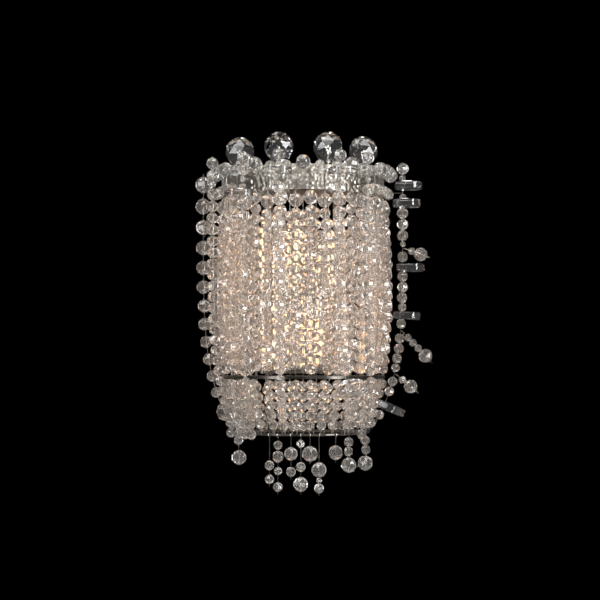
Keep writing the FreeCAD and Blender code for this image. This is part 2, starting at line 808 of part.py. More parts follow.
def basket_strand(angle):
    """One short strand that slopes in from the lower ring to the bottom ring."""
    top = size("lower_ring_top") - size("lower_ring_height")
    foot = bottom_ring_level() + size("rod_diameter") / 2 + size("loop_gap")

    def place(z):
        share = (top - z) / (top - bottom_ring_level())
        half_width = size("ring_half_width") * (1 - share) + size("bottom_half_width") * share
        depth = size("ring_depth") * (1 - share) + size("bottom_depth") * share
        return oval_point(half_width, depth, angle, z)

    bead = size("basket_bead")
    count = int((top - foot - bead / 3) / bead)
    beads = [(top - bead / 4 - bead * (step + 0.5), bead) for step in range(count)]
    return strand_solid(place, top, foot, beads, 4, "bicone", angle - 45)


def outer_lean(z):
    top = size("outer_top")
    share = (top - z) / (top - bottom_ring_level())
    return min(max(share, 0), 1) ** 5


def outer_point(angles, z):
    """The line of a loose outer strand, which leans in to the bottom ring."""
    lean = outer_lean(z)
    foot = size("rod_diameter") / 2 + size("loop_gap") + size("wire")
    half_width = (size("ring_half_width") + size("outer_stand_off")) * (1 - lean)
    depth = (size("ring_depth") + size("outer_stand_off")) * (1 - lean)
    angle = angles[0] * (1 - lean) + angles[1] * lean
    return oval_point(
        half_width + (size("bottom_half_width") + foot) * lean,
        depth + (size("bottom_depth") + foot) * lean, angle, z)


# Each outer strand: its angle round the rim and round the bottom ring, how far its tail hangs
# below the bottom ring, and its discs: each one's height, whether it is large, and its turn.
OUTER_STRANDS = {
    "outer_strand_right": (
        (11, 14), 0,
        [(134, False, 50), (112, False, -50), (38, False, 0), (-17, False, 60), (-121, False, 0)]),
    "outer_strand_ball_4": ((53, 26), 43, []),
    "outer_strand_ball_3": ((70, 50), 43, [(134, False, 0), (-98, False, 20)]),
    "outer_strand_ball_2": ((103, 105), 0, [(134, False, 0)]),
    "outer_strand_ball_1": ((124, 133), 0, [(112, False, 0)]),
    "outer_strand_left": ((150, 158), 37, [(-128, True, 180)]),
}
SWAG_ANGLES = (168, 171)

# Each spray: the height where it leaves the right-hand strand, its direction, its small beads.
SPRAYS = {
    "wire_spray_upper": (61, Vector(0.8, -0.5, -0.35), 1),
    "wire_spray_middle": (-34, Vector(0.66, -0.2, -0.72), 3),
    "wire_spray_lower": (-84, Vector(0.72, -0.3, -0.62), 1),
}
SPRAY_STRAND = "outer_strand_right"


def disc_radius(large):
    return size("disc_diameter" if large else "small_disc_diameter") / 2


def basket_clearings():
    """Where a low disc reaches in among the basket's strands: the middle angle and the half width."""
    clearings = []
    for angles, tail, placed in OUTER_STRANDS.values():
        for height, large, turn in placed:
            lean = outer_lean(height)
            share = (size("lower_ring_top") - height) / size("bottom_ring_drop")
            strand = (size("ring_half_width") + size("outer_stand_off")) * (1 - lean)
            strand += size("bottom_half_width") * lean
            basket = size("ring_half_width") * (1 - share) + size("bottom_half_width") * share
            bead = size("basket_bead") / 2
            inward = disc_radius(large) - size("disc_offset") * math.cos(math.radians(turn)) + bead
            if share > 0 and inward > strand - basket:
                half_width = math.degrees((disc_radius(large) + bead) / size("ring_depth"))
                clearings.append((angles[0] * (1 - lean) + angles[1] * lean, half_width))
    return clearings


def curtain():
    """The curtain in four panels and the basket below it in two."""
    angles = curtain_slots()
    ribs = rib_slots()
    panels = {"curtain_right": [], "curtain_front_right": [], "curtain_front_left": [], "curtain_left": []}
    baskets = {"basket_right": [], "basket_left": []}
    for index, angle in enumerate(angles):
        if index in ribs:
            continue
        panel = min(int(angle / 45), 3)
        panels[list(panels)[panel]].append(curtain_strand(angle, index))
        if not any(abs(angle - middle) < reach for middle, reach in basket_clearings()):
            baskets[list(baskets)[int(angle > 90)]].append(basket_strand(angle))
    for node, strands in list(panels.items()) + list(baskets.items()):
        shape_part(node, Part.makeCompound(strands))


def bead_run(top, bottom, gaps, first, last):
    """Touching beads from top to bottom that shrink evenly and leave the gaps clear."""
    beads = []
    level = top
    while True:
        share = (top - level) / (top - bottom)
        diameter = first + (last - first) * min(share, 1)
        blocked = [gap for gap in gaps if level > gap[0] and level - diameter < gap[1]]
        if blocked:
            level = blocked[0][0]
            continue
        if level - diameter < bottom:
            return beads
        beads.append((level - diameter / 2, diameter))
        level -= diameter


def disc_solid(angles, height, large, turn):
    """A thick glass disc square to its strand, bored off centre for the wire."""
    radius = disc_radius(large)
    thick = size("disc_thick")
    middle = outer_point(angles, height)
    along = (outer_point(angles, height + 1) - outer_point(angles, height - 1)).normalize()
    outward = Vector(middle.x, middle.y + size("pan_depth"), 0)
    outward = (outward - along * outward.dot(along)).normalize()
    centre = middle + Rotation(along, turn).multVec(outward) * size("disc_offset")
    half = along * (thick / 2)
    disc = faceted_solid([(centre - half, radius), (centre + half, radius)], 18, along)
    bore = size("disc_bore") / 2
    return disc.cut(faceted_solid([(middle - along * thick, bore), (middle + along * thick, bore)], 6, along))


def disc_half_height(angles, height):
    """Half the height that a disc takes up on its strand."""
    along = (outer_point(angles, height + 1) - outer_point(angles, height - 1)).normalize()
    slant = math.sqrt(max(1 - along.z ** 2, 0)) / abs(along.z)
    return size("disc_thick") / 2 / abs(along.z) + (size("disc_bore") + 2 * size("loop_gap")) * slant


def outer_strand(node, angles, tail, discs):
    """A strand outside the curtain, from above the rim to the bottom ring or below it."""
    ring = bottom_ring_level()
    top = size("outer_top") + size("rim_bead") * 1.6
    clear = size("rod_diameter") + size("loop_gap")
    gaps = [(ring - clear, ring + size("foot_clear"))]
    tie = size("outer_top") - size("tie_drop")
    gaps.append((tie - size("wire") - size("loop_gap"), tie + size("wire") + size("loop_gap")))
    for height, large, turn in discs:
        half = disc_half_height(angles, height)
        gaps.append((height - half, height + half))
    if node == SPRAY_STRAND:
        gaps.extend((spray[0] - size("spray_bead") / 2, spray[0] + size("wire") * 2) for spray in SPRAYS.values())
    end = ring - tail if tail else ring + clear
    gaps.sort(reverse=True)
    last = size("tail_bead") if tail else 0
    beads = bead_run(top - 1, end + last, gaps, size("outer_bead"), size("outer_end_bead"))
    if tail:
        beads.append((end + last / 2, last))
    return strand_solid(
        lambda z: outer_point(angles, z), top, end - size("loop_gap"), beads, 4, "bicone", -angles[0])


def outer_strands():
    discs = []
    for node, (angles, tail, placed) in OUTER_STRANDS.items():
        shape_part(node, outer_strand(node, angles, tail, placed))
        discs.extend(disc_solid(angles, *disc) for disc in placed)
    shape_part("crystal_discs", Part.makeCompound(discs))


curtain()
outer_strands()


def swag_strand():
    """The loose strand at the left: large beads joined by open wire links."""
    top = size("outer_top") + size("swag_bead") / 2
    bottom = bottom_ring_level() + size("foot_clear")
    beads = []
    level = top
    while True:
        share = (top - level) / (top - bottom)
        diameter = size("swag_bead") + (size("swag_end_bead") - size("swag_bead")) * share
        if level - diameter < bottom:
            break
        beads.append((level - diameter / 2, diameter))
        level -= diameter + size("swag_link")
    strand = strand_solid(
        lambda z: outer_point(SWAG_ANGLES, z), top + size("swag_link") / 2,
        bottom_ring_level() + size("loop_gap"), beads, 5, "round", -SWAG_ANGLES[0])
    shape_part("swag_strand", strand)


BALL_ANGLES = {"top_ball_1": 139, "top_ball_2": 106.5, "top_ball_3": 73, "top_ball_4": 44}


def outward(angle):
    """The level direction straight out of the rings at an angle."""
    turn = math.radians(angle)
    return Vector(math.cos(turn) / size("ring_half_width"), -math.sin(turn) / size("ring_depth"), 0).normalize()


def ball_centre(angle):
    rise = size("band_bottom") + size("band_height") + size("ball_lift") + size("ball_diameter") / 2
    return oval_point(size("ring_half_width"), size("ring_depth"), angle, rise)


def rim_garland():
    """Large beads side by side along the outside of the band's upper edge."""
    bead = size("rim_bead")
    flat = math.cos(math.pi / 8)
    stand_off = size("band_thick") / 2 + size("loop_gap") + bead / 2 * flat
    edge = oval_edge(size("ring_half_width"), size("ring_depth"))
    level = size("band_bottom") + size("band_height") + bead * 0.03
    beads = []
    for point in edge.discretize(Number=int(size("rim_count")))[1:-1]:
        forward = max(-size("pan_depth") - point.y, 0) / size("ring_depth")
        away = outward(math.degrees(math.atan2(forward, point.x / size("ring_half_width"))))
        centre = Vector(point.x, point.y, level) + away * stand_off
        nearest = min((ball_centre(angle) - centre).Length for angle in BALL_ANGLES.values())
        if nearest < (size("ball_diameter") + bead) / 2:
            continue
        turn = -math.degrees(math.atan2(away.y, away.x)) + 22.5

        def place(z):
            return centre + Vector(0, 0, z)

        sections = bead_sections(place, 0, bead, "round", bead * 0.2)
        beads.append(faceted_solid(sections, 8, Vector(0, 0, -1), turn))
    shape_part("rim_garland", Part.makeCompound(beads))


def top_balls():
    """Faceted balls, each on a short pin that stands on the band's upper edge."""
    radius = size("ball_diameter") / 2
    foot = size("band_bottom") + size("band_height")
    centre = foot + size("ball_lift") + radius
    latitudes = [-70, -40, -12, 12, 40, 70]
    for node, angle in BALL_ANGLES.items():
        spot = oval_point(size("ring_half_width"), size("ring_depth"), angle, 0)
        pin = size("wire")
        sections = [(spot + Vector(0, 0, foot), pin)]
        sections.append((spot + Vector(0, 0, centre - radius * math.sin(math.radians(70))), pin))
        for latitude in latitudes:
            turn = math.radians(latitude)
            height = centre + radius * math.sin(turn)
            sections.append((spot + Vector(0, 0, height), radius * math.cos(turn)))
        shape_part(node, faceted_solid(sections, 8, Vector(0, 0, 1), angle))


def strand_ties():
    """Short wires that hold the outer strands off the band."""
    level = size("outer_top") - size("tie_drop")
    pairs = [strand[0] for strand in OUTER_STRANDS.values()]
    rods = []
    for angles in pairs:
        inner = oval_point(size("ring_half_width"), size("ring_depth"), angles[0], level)
        outer = outer_point(angles, level)
        run = (outer - inner).normalize()
        start = inner + run * (size("band_thick") / 2 + size("loop_gap"))
        end = outer - run * (size("wire") + size("loop_gap"))
        rods.append(faceted_solid([(start, size("wire")), (end, size("wire"))], 4, run, 45))
    shape_part("strand_ties", Part.makeCompound(rods))


def wire_sprays():
    """Short stiff wires that stand out of the right-hand strand with a large end bead."""
    angles = OUTER_STRANDS[SPRAY_STRAND][0]
    wire = size("wire")
    for node, (height, direction, count) in SPRAYS.items():
        along = Vector(direction).normalize()
        start = outer_point(angles, height) + along * (wire * 2 + size("loop_gap"))

        def place(distance):
            return start - along * distance

        beads = []
        level = -size("outer_bead") / 2
        for step in range(count):
            beads.append((level - size("spray_bead") / 2, size("spray_bead")))
            level -= size("spray_bead")
        beads.append((level - size("spray_end_bead") / 2, size("spray_end_bead")))
        end = level - size("spray_end_bead") - size("spray_bead") / 2
        shape_part(node, strand_solid_along(place, along, end, beads))


def strand_solid_along(place, along, end, beads):
    """Beads on a straight wire in any direction."""
    wire = size("wire")
    sections = [(place(0), wire)]
    for centre, diameter in beads:
        bead = bead_sections(place, centre, diameter, "round", diameter * 0.2)
        if sections[-1][1] <= wire:
            sections.append((place(centre + diameter / 2), wire))
            sections.extend(bead)
        else:
            sections.extend(bead[1:])
    sections.append((place(beads[-1][0] - beads[-1][1] / 2), wire))
    sections.append((place(end), wire))
    return faceted_solid(sections, 6, along * -1, 0)


# Each tassel: its angle round the bottom ring, and its beads as depth below the ring and diameter.
TASSELS = {
    "tassel_1": (118.9, [(34, 11), (50, 11)]),
    "tassel_2": (111.2, [(40, 9), (57, 11)]),
    "tassel_3": (100.0, [(20.6, 15), (40.5, 11)]),
    "tassel_4": (91.9, [(9.5, 9), (35, 11), (54, 16.5)]),
    "tassel_5": (84.3, [(20.6, 17.5)]),
    "tassel_6": (76.8, [(38.3, 17), (50, 6), (58.7, 11)]),
    "tassel_7": (62.0, [(20, 16.4)]),
}


def tassel_frame(angle):
    """The hinge point on the bottom ring and the ring's direction there."""
    point = oval_point(size("bottom_half_width"), size("bottom_depth"), angle, bottom_ring_level())
    turn = math.radians(angle)
    along = Vector(-size("bottom_half_width") * math.sin(turn), -size("bottom_depth") * math.cos(turn), 0)
    return point, along.normalize()


def tassels():
    """Loose strings of beads, each on a flat wire eye that swings on the bottom ring."""
    bore = size("rod_diameter") / 2 + size("fit_gap")
    outer = bore + size("eye_wall")
    thick = size("eye_thick")
    wire = size("wire")
    for node, (angle, hung) in TASSELS.items():
        point, along = tassel_frame(angle)
        eye = faceted_solid(
            [(point - along * (thick / 2), outer), (point + along * (thick / 2), outer)], 10, along, 90)
        eye = eye.cut(Part.makeCylinder(bore, thick * 2, point - along * thick, along))
        top = point.z - outer + size("eye_wall") / 2

        def place(z):
            return Vector(point.x, point.y, z)

        beads = [(point.z - depth, diameter) for depth, diameter in hung]
        end = beads[-1][0] - beads[-1][1] / 2 - size("spray_bead") / 2
        string = strand_solid(place, top, end, beads, 5, "round", angle)
        shape_part(node, eye.fuse(string))
        print(node, "hinge at", [round(value, 4) for value in point], "along", [round(v, 6) for v in along])


swag_strand()
rim_garland()
top_balls()
strand_ties()
wire_sprays()
tassels()


# --- Checks and export -----------------------------------------------------------------------

doc.recompute()
for piece in doc.Objects:
    if "Invalid" in piece.State or "Error" in piece.State:
        raise ValueError(piece.Name + " failed to build")
for piece in sub_parts:
    if piece.Shape.isNull() or not piece.Shape.isValid():
        raise ValueError(piece.Label + " has no valid shape")

os.makedirs("parts", exist_ok=True)
for piece in sub_parts:
    piece.Shape.exportStep("parts/%s.step" % piece.Label)
print(len(sub_parts), "sub-parts")
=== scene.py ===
import math
import random

import bpy
import numpy as np
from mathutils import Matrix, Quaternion, Vector


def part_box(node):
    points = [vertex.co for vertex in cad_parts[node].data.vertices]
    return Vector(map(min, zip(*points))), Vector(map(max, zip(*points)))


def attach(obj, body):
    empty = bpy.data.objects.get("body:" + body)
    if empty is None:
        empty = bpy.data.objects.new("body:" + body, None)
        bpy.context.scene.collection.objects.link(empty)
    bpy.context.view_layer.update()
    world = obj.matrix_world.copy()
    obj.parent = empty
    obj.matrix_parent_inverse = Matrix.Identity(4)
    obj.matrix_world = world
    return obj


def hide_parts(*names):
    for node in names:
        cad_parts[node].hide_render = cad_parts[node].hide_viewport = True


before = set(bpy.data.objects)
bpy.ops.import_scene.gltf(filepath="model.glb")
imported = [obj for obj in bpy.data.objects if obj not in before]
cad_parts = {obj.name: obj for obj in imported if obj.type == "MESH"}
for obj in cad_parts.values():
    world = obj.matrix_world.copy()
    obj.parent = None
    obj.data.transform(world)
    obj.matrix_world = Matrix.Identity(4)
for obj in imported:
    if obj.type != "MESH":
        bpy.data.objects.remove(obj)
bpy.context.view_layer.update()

print("frame loaded")


def linear(hexColour, alpha=1.0):
    parts = [int(hexColour[i:i + 2], 16) / 255 for i in (1, 3, 5)]
    light = (c / 12.92 if c <= 0.04045 else ((c + 0.055) / 1.055) ** 2.4 for c in parts)
    return tuple(light) + (alpha,)


def addNode(tree, nodeType, links=None, **settings):  # links: input's name or number -> output
    node = tree.nodes.new(nodeType)
    for name, value in settings.items():
        if hasattr(node, name):
            setattr(node, name, value)
        else:
            node.inputs[name.replace("_", " ")].default_value = value
    for socket, source in (links or {}).items():
        tree.links.new(source, node.inputs[socket])
    return node


def newMaterial(name):
    material = bpy.data.materials.new(name)
    material.use_nodes = True
    material.node_tree.nodes.clear()
    return material, material.node_tree


def lightPasses(tree, shader, tint):  # shadow rays go through, so the lamps light the inside
    path = addNode(tree, "ShaderNodeLightPath")
    passing = addNode(tree, "ShaderNodeBsdfTransparent", Color=linear(tint))
    mix = addNode(tree, "ShaderNodeMixShader",
                  {0: path.outputs["Is Shadow Ray"], 1: shader.outputs[0], 2: passing.outputs[0]})
    addNode(tree, "ShaderNodeOutputMaterial", {"Surface": mix.outputs[0]})


# lead crystal, machine cut and polished: bright facet edges over a clear body. Many facets
# are finer than a pixel, so a small share of the light is scattered to keep the beads pale.
crystalLook = dict(ior=1.56, body="#fbfaf8", roughness=0.05, tint="#e6e2dd",
                   scatter="#f4efe9", scatterShare=0.045, backShare=0.5)


def leadCrystal():
    material, tree = newMaterial("leadCrystalCut")
    glass = addNode(tree, "ShaderNodeBsdfPrincipled", Base_Color=linear(crystalLook["body"]),
                    Roughness=crystalLook["roughness"], IOR=crystalLook["ior"],
                    Transmission_Weight=1.0)
    through = addNode(tree, "ShaderNodeBsdfTranslucent", Color=linear(crystalLook["scatter"]))
    back = addNode(tree, "ShaderNodeBsdfDiffuse", Color=linear(crystalLook["scatter"]))
    both = addNode(tree, "ShaderNodeMixShader", {1: through.outputs[0], 2: back.outputs[0]},
                   Fac=crystalLook["backShare"])
    mix = addNode(tree, "ShaderNodeMixShader", {1: glass.outputs[0], 2: both.outputs[0]},
                  Fac=crystalLook["scatterShare"])
    lightPasses(tree, mix, crystalLook["tint"])
    return material


# the large balls and discs are the same glass, polished clear: dark inside, white at the rim
clearLook = dict(ior=1.56, body="#fbfbfb", tint="#eeeeee")
# soda-lime bulb, blown thin: almost no edge, so what glows inside stays in view
bulbLook = dict(ior=1.05, body="#fffaf0", tint="#ffffff")


def clearGlass(name, look):
    material, tree = newMaterial(name)
    glass = addNode(tree, "ShaderNodeBsdfPrincipled", Base_Color=linear(look["body"]),
                    Roughness=0.0, IOR=look["ior"], Transmission_Weight=1.0)
    lightPasses(tree, glass, look["tint"])
    return material


# chrome-plated steel sheet, pressed and polished: a mirror with waves about 6 mm apart.
# Its grain is drawn about 1 mm wide, coarser than the real one, so that it shows.
chromeLook = dict(colour="#d2d0cc", waveScale=170.0, grainScale=900.0, detail=2.0,
                  smoothest=0.06, roughest=0.16, bump=0.3, bumpDepth=0.0005)


def polishedChrome():
    material, tree = newMaterial("chromePlatedSteel")
    place = addNode(tree, "ShaderNodeTexCoord").outputs["Object"]
    waves = addNode(tree, "ShaderNodeTexNoise", {"Vector": place},
                    Scale=chromeLook["waveScale"], Detail=chromeLook["detail"])
    grain = addNode(tree, "ShaderNodeTexNoise", {"Vector": place},
                    Scale=chromeLook["grainScale"], Detail=chromeLook["detail"])
    rough = addNode(tree, "ShaderNodeMapRange", {0: grain.outputs[0]},
                    To_Min=chromeLook["smoothest"], To_Max=chromeLook["roughest"])
    bump = addNode(tree, "ShaderNodeBump", {"Height": waves.outputs[0]},
                   Strength=chromeLook["bump"], Distance=chromeLook["bumpDepth"])
    metal = addNode(tree, "ShaderNodeBsdfPrincipled",
                    {"Roughness": rough.outputs[0], "Normal": bump.outputs[0]},
                    Base_Color=linear(chromeLook["colour"]), Metallic=1.0)
    addNode(tree, "ShaderNodeOutputMaterial", {"Surface": metal.outputs[0]})
    return material


# chrome-plated strip, hammered with marks about 4 mm apart: it breaks up what it mirrors
# its colour is darker than the chrome's: painted shade that dims what the strip mirrors
bandLook = dict(colour="#9a958d", roughness=0.3, markScale=240.0, bump=1.0, bumpDepth=0.0016)


def hammeredChrome():
    material, tree = newMaterial("chromePlatedHammeredStrip")
    place = addNode(tree, "ShaderNodeTexCoord").outputs["Object"]
    marks = addNode(tree, "ShaderNodeTexVoronoi", {"Vector": place}, Scale=bandLook["markScale"])
    bump = addNode(tree, "ShaderNodeBump", {"Height": marks.outputs[0]},
                   Strength=bandLook["bump"], Distance=bandLook["bumpDepth"])
    metal = addNode(tree, "ShaderNodeBsdfPrincipled", {"Normal": bump.outputs[0]},
                    Base_Color=linear(bandLook["colour"]), Metallic=1.0,
                    Roughness=bandLook["roughness"])
    addNode(tree, "ShaderNodeOutputMaterial", {"Surface": metal.outputs[0]})
    return material


metalLooks = {
    "stainlessWire": dict(colour="#b9b6b0", roughness=0.22),  # drawn bright: thin grey lines
    "chromeRodPaintedDark": dict(colour="#57534e", roughness=0.26),  # polished chrome drawn dark: painted shade for the black room it mirrors, seen as dark lines
    "zincPlatedSteel": dict(colour="#b4b4b0", roughness=0.35),  # plated plain: pale and dull
    "brassCap": dict(colour="#c9a765", roughness=0.3),  # spun and left plain: warm yellow
}
# grain drawn about 1.7 mm wide so that it shows; the ends are shares of the roughness
metalGrain = dict(scale=600.0, detail=3.0, smoothest=0.8, roughest=1.3)


def plainMetal(name):
    look = metalLooks[name]
    material, tree = newMaterial(name)
    grain = addNode(tree, "ShaderNodeTexNoise", Scale=metalGrain["scale"],
                    Detail=metalGrain["detail"])
    rough = addNode(tree, "ShaderNodeMapRange", {0: grain.outputs[0]},
                    To_Min=look["roughness"] * metalGrain["smoothest"],
                    To_Max=look["roughness"] * metalGrain["roughest"])
    metal = addNode(tree, "ShaderNodeBsdfPrincipled", {"Roughness": rough.outputs[0]},
                    Base_Color=linear(look["colour"]), Metallic=1.0)
    addNode(tree, "ShaderNodeOutputMaterial", {"Surface": metal.outputs[0]})
    return material


# phenolic lampholder, moulded: ivory with a faint mottle of about 4 mm
holderLook = dict(pale="#e8e4da", dark="#d9d4c8", roughness=0.45, mottleScale=250.0, detail=4.0)


def mouldedPlastic():
    material, tree = newMaterial("phenolicMoulded")
    mottle = addNode(tree, "ShaderNodeTexNoise", Scale=holderLook["mottleScale"],
                     Detail=holderLook["detail"])
    shade = addNode(tree, "ShaderNodeMix", {0: mottle.outputs[0]}, data_type="RGBA")
    shade.inputs[6].default_value = linear(holderLook["pale"])
    shade.inputs[7].default_value = linear(holderLook["dark"])
    plastic = addNode(tree, "ShaderNodeBsdfPrincipled", {"Base Color": shade.outputs[2]},
                      Roughness=holderLook["roughness"])
    addNode(tree, "ShaderNodeOutputMaterial", {"Surface": plastic.outputs[0]})
    return material


glowLooks = {
    "tungstenFilament": dict(colour="#ffc890", strength=90.0),  # coiled wire at full heat
    "bulbInnerCoatLit": dict(colour="#ffd3a4", strength=2.4),  # sprayed coat, lit from inside
}


def glowing(name):
    look = glowLooks[name]
    material, tree = newMaterial(name)
    glow = addNode(tree, "ShaderNodeEmission", Color=linear(look["colour"]),
                   Strength=look["strength"])
    lightPasses(tree, glow, "#ffffff")
    return material


crystal = leadCrystal()
clear = clearGlass("leadCrystalClear", clearLook)
bulbGlass = clearGlass("sodaLimeBulb", bulbLook)
chrome = polishedChrome()
bandMetal = hammeredChrome()
wireSteel = plainMetal("stainlessWire")
ribSteel = plainMetal("chromeRodPaintedDark")
zinc = plainMetal("zincPlatedSteel")
brass = plainMetal("brassCap")
plastic = mouldedPlastic()
filament = glowing("tungstenFilament")
innerCoat = glowing("bulbInnerCoatLit")

nodeLooks = {  # every other node that stays in view is chrome
    "top_band": bandMetal, "frame_ribs": ribSteel, "lower_ring": ribSteel,
    "basket_frame": ribSteel, "strand_ties": ribSteel, "mounting_crossbar": zinc,
    "mounting_studs": zinc, "earth_screw": brass, "lampholder_upper": plastic,
    "lampholder_lower": plastic, "lamp_cap_upper": brass, "lamp_cap_lower": brass,
    "lamp_bulb_upper": bulbGlass, "lamp_bulb_lower": bulbGlass,
}
for nodeName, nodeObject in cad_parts.items():
    for slot in nodeObject.material_slots:
        slot.material = nodeLooks.get(nodeName, chrome)
print("materials made")


def boxOf(node):
    low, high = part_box(node)
    return Vector(low), Vector(high)


# metres; the rod has eight sides, and rodFlat is a flat's distance as a share of its radius
frameLook = dict(bandThick=0.0015, rodRadius=0.0015, rodFlat=0.924,
                 footHalfWidth=0.077, footDepth=0.098)

bandLow, bandHigh = boxOf("top_band")
ringLow, ringHigh = boxOf("lower_ring")
backY = bandHigh.y
bandThick = frameLook["bandThick"]
halfWidth = bandHigh.x - bandThick / 2
ovalDepth = backY - bandLow.y - bandThick / 2
footHalfWidth = frameLook["footHalfWidth"]
footDepth = frameLook["footDepth"]
footLevel = boxOf("basket_frame")[0].z + frameLook["rodRadius"] * frameLook["rodFlat"]
up = Vector((0, 0, 1))


def ovalPoint(a, b, angle, z):
    turn = math.radians(angle)
    return Vector((a * math.cos(turn), backY - b * math.sin(turn), z))


def ovalOutward(angle):
    turn = math.radians(angle)
    return Vector((math.cos(turn) / halfWidth, -math.sin(turn) / ovalDepth, 0)).normalized()


def evenAngles(count):  # angles spaced evenly along the oval's length
    fine = np.radians(np.linspace(0, 180, 4001))
    run = np.stack([halfWidth * np.cos(fine), ovalDepth * np.sin(fine)])
    length = np.concatenate([[0], np.cumsum(np.hypot(*np.diff(run, axis=1)))])
    return np.degrees(np.interp(np.linspace(0, length[-1], count), length, fine))


def cutBead(sides, rows):  # rows of (height, radius, turned by half a step) on a unit bead
    points, faces = [], []
    for height, radius, turned in rows:
        for i in range(sides):
            a = 2 * math.pi * (i + 0.5 * turned) / sides
            points.append((radius * math.cos(a), radius * math.sin(a), height))
    for r in range(len(rows) - 1):
        low, high = r * sides, (r + 1) * sides
        for i in range(sides):
            j = (i + 1) % sides
            if rows[r][2] == rows[r + 1][2]:
                faces.append((low + i, low + j, high + j, high + i))
            elif rows[r + 1][2]:
                faces.append((low + i, low + j, high + i))
                faces.append((low + j, high + j, high + i))
            else:
                faces.append((low + i, low + j, high + j))
                faces.append((low + i, high + j, high + i))
    faces.append(tuple(reversed(range(sides))))
    faces.append(tuple(range(len(points) - sides, len(points))))
    return np.array(points), faces


# eight facets to a row; between a plain row and a turned one the facets are triangles
beadRows = [(-0.95, 0.26, 0), (-0.72, 0.68, 1), (-0.26, 0.965, 0),
            (0.26, 0.965, 0), (0.72, 0.68, 1), (0.95, 0.26, 0)]
ballRows = [(-0.97, 0.24, 0), (-0.72, 0.69, 1), (-0.25, 0.968, 0),
            (0.25, 0.968, 1), (0.72, 0.69, 0), (0.97, 0.24, 1)]
smallBead = cutBead(8, beadRows)
bigBall = cutBead(8, ballRows)
# five sides are enough for so thin a wire; step is about the length of its straight stretches
wireLook = dict(radius=0.0004, sides=5, step=0.02)


class Pile:  # collects the beads and wires of one piece; its materials are numbered from 0
    def __init__(self):
        self.points, self.faces, self.finishes, self.count = [], [], [], 0

    def add(self, points, faces, finish):
        self.points.append(points)
        self.faces.extend(tuple(self.count + i for i in face) for face in faces)
        self.finishes.extend([finish] * len(faces))
        self.count += len(points)

    def bead(self, centre, diameter, axis=up, spin=0.0, form=smallBead):
        points, faces = form
        turn = up.rotation_difference(Vector(axis)).to_matrix()
        c, s = math.cos(spin), math.sin(spin)
        spun = points @ np.array([[c, s, 0], [-s, c, 0], [0, 0, 1]])
        placed = (spun * diameter / 2) @ np.array(turn).T + np.array(centre)
        self.add(placed, faces, 0)

    def wire(self, places, radius=wireLook["radius"], finish=1):
        places = [Vector(p) for p in places]
        sides = wireLook["sides"]
        points, faces = [], []
        for i, place in enumerate(places):
            along = (places[min(i + 1, len(places) - 1)] - places[max(i - 1, 0)]).normalized()
            aside = along.orthogonal().normalized()
            over = along.cross(aside)
            for k in range(sides):
                a = 2 * math.pi * k / sides
                off = aside * (radius * math.cos(a)), over * (radius * math.sin(a))
                points.append(place + off[0] + off[1])
        for i in range(len(places) - 1):
            low, high = i * sides, (i + 1) * sides
            for k in range(sides):
                m = (k + 1) % sides
                faces.append((low + k, low + m, high + m, high + k))
        self.add(np.array(points), faces, finish)

    def build(self, name, nodes, materials, body="sconce", slot="crystal"):
        mesh = bpy.data.meshes.new(name)
        mesh.from_pydata(np.concatenate(self.points).tolist(), [], self.faces)
        for material in materials:
            mesh.materials.append(material)
        mesh.polygons.foreach_set("material_index", self.finishes)
        mesh.update()
        piece = bpy.data.objects.new(name, mesh)
        bpy.context.scene.collection.objects.link(piece)
        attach(piece, body)
        if nodes:
            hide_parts(*nodes)


# hand-strung beads sit a little off true; tangent is the span that gives the wire's direction,
# and a space smaller than smallestFill stays bare
strandLook = dict(seed=7, tilt=0.09, tangent=0.003, smallestFill=0.006)
seeded = random.Random(strandLook["seed"])


def nearly(most):
    return seeded.uniform(-most, most)


def strand(pile, place, top, beads, bottom, wobble):  # place(z) is the wire's line
    for centre, diameter in beads:
        shift = Vector((nearly(wobble), nearly(wobble), 0))
        span = strandLook["tangent"]
        along = (place(centre + span) - place(centre - span)).normalized()
        tilt = along + Vector((nearly(strandLook["tilt"]), nearly(strandLook["tilt"]), 0))
        pile.bead(place(centre) + shift, diameter, tilt, seeded.uniform(0, 1))
    steps = max(2, int((top - bottom) / wireLook["step"]))
    pile.wire([place(top + (bottom - top) * i / steps) for i in range(steps + 1)])


def beadRun(top, bottom, first, last, lead=0.0, gaps=()):  # (centre height, diameter) of each bead
    beads, level = [], top - lead
    while True:
        share = (top - level) / (top - bottom)
        diameter = first + (last - first) * min(share, 1)
        blocked = [g for g in gaps if level > g[0] and level - diameter < g[1]]
        if blocked:
            room = level - blocked[0][1]
            if room > strandLook["smallestFill"]:  # a smaller bead fills the space above the gap
                beads.append((level - room / 2, room))
            level = blocked[0][0]
            continue
        if level - diameter < bottom:
            return beads
        beads.append((level - diameter / 2, diameter))
        level -= diameter


# oddLead and evenLead, shares of a bead, set neighbouring strands off in height. The inner row
# hangs behind the spaces between strands, and a cover strand hides each front rib.
curtainLook = dict(slots=22, topBead=0.0162, bead=0.0124, bulge=0.006, wobble=0.0007,
                   oddLead=1 / 3, evenLead=1 / 12,
                   inset=0.011, innerDrop=0.019, innerWobble=0.0012,
                   coverOut=0.0085, coverDrop=0.002, coverWobble=0.0006)
# at the sides the strands hang down over the foot rod, clear of the tassels (tasselSpan, in
# degrees from the middle) and of the outer strands' feet (feetClear)
basketLook = dict(bead=0.0112, drop=0.001, foot=0.004, wobble=0.0006, coverOut=0.0065,
                  inset=0.008, innerTop=0.0115, innerEnd=0.0105, innerLead=0.006,
                  innerFoot=0.003, innerWobble=0.001,
                  overhang=0.0085, overReach=0.0095, tasselSpan=34, ends=(28, 165),
                  strandFeet=(26, 50, 158), feetClear=5.5)
angles = evenAngles(curtainLook["slots"])
lastSlot = curtainLook["slots"] - 1
# ribs stand at both ends and at thirds of the run
frontRibs = (lastSlot // 3, lastSlot - lastSlot // 3)
ribSlots = (0, *frontRibs, lastSlot)
panelSpan = 45  # degrees of the oval that one curtain panel covers


